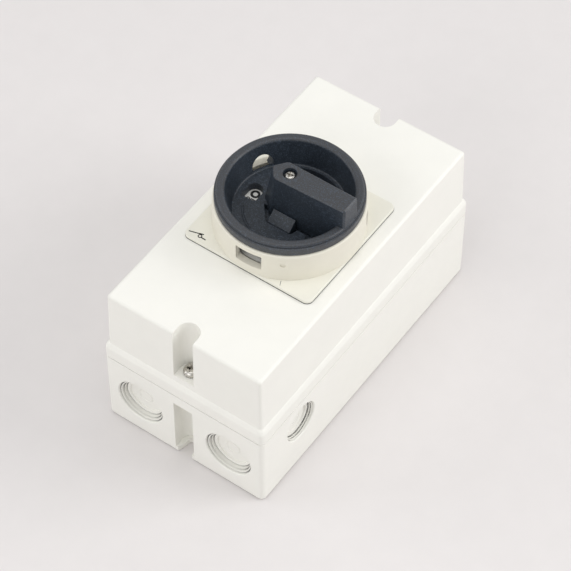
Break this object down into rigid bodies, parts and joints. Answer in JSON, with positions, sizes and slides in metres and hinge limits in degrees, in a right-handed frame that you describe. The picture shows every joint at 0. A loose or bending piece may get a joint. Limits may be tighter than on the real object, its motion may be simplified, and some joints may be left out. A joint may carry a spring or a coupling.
{
  "type": "rotary isolator switch",
  "caption": "Enclosed rotary isolator switch: a white moulded box with a black padlockable rotary handle over a stacked contact block.",
  "frame": {"origin": "middle of the enclosure's underside, the face that lies against the wall", "axes": "+Z out of the wall towards the handle, +Y along the enclosure's long side away from the end seen nearest, +X to the right"},
  "size_m": [0.083, 0.1568, 0.1138],
  "materials": {
    "shell": "fine satin moulded polycarbonate, warm white",
    "collar": "satin cream moulding",
    "plate": "satin pale cream moulding",
    "legend": "printed pale disc",
    "knob": "fine spark-eroded charcoal grain",
    "seal": "matt black elastomer",
    "zinc": "bright zinc plate",
    "steel": "plain spring and rail steel",
    "brass": "turned brass",
    "copper": "stamped copper, silver-plated at the tips",
    "deck": "dark glass-filled thermoset",
    "rotor": "natural cream polyamide"
  },
  "bodies": {
    "base": {"base_box": "shell", "lid_gasket": "seal", "lid_insert_front": "brass", "lid_insert_rear": "brass", "din_rail": "steel", "rail_screw_1": "zinc", "rail_screw_2": "zinc", "mounting_foot": "deck", "mechanism_housing": "deck", "snap_spring_front": "steel", "snap_spring_rear": "steel", "tie_bolt_1": "zinc", "tie_bolt_2": "zinc", "contact_deck_1": "deck", "contact_deck_2": "deck", "contact_deck_3": "deck", "contact_deck_4": "deck", "line_contact_1": "copper", "line_screw_1": "zinc", "load_contact_1": "copper", "load_screw_1": "zinc", "line_contact_2": "copper", "line_screw_2": "zinc", "load_contact_2": "copper", "load_screw_2": "zinc", "line_contact_3": "copper", "line_screw_3": "zinc", "load_contact_3": "copper", "load_screw_3": "zinc", "line_contact_4": "copper", "line_screw_4": "zinc", "load_contact_4": "copper", "load_screw_4": "zinc"},
    "lid": {"lid": "shell", "lid_screw_front": "zinc", "lid_screw_rear": "zinc", "screw_washer_front": "seal", "screw_washer_rear": "seal", "front_plate": "plate", "plate_gasket": "seal", "locking_collar": "collar", "legend_disc": "legend", "shaft_seal": "seal"},
    "handle": {"knob": "knob", "drive_shaft": "zinc", "handle_screw": "zinc", "retaining_clip": "steel", "plunger_spring": "steel"},
    "plunger": {"lock_plunger": "knob"},
    "rotor": {"rotor_spindle": "rotor", "snap_cam": "rotor", "moving_contact_1": "copper", "moving_contact_2": "copper", "moving_contact_3": "copper", "moving_contact_4": "copper"}
  },
  "joints": [
    {"name": "lid_lift", "type": "slide", "parent": "base", "child": "lid", "axis": [0, 0, 1], "range_m": [0, 0.06]},
    {"name": "handle_turn", "type": "hinge", "parent": "lid", "child": "handle", "pos_m": [0, 0, 0.0904], "axis": [0, 0, 1], "range_deg": [-90, 0]},
    {"name": "rotor_turn", "type": "hinge", "parent": "base", "child": "rotor", "pos_m": [0, 0, 0.04], "axis": [0, 0, 1], "range_deg": [-90, 0]},
    {"name": "plunger_press", "type": "slide", "parent": "handle", "child": "plunger", "axis": [0, 0, -1], "range_m": [0, 0.003], "stiffness_N_per_m": 400, "deforming": ["plunger_spring"]}
  ],
  "couplings": [
    {"joint": "rotor_turn", "follows": "handle_turn", "ratio": 1}
  ]
}
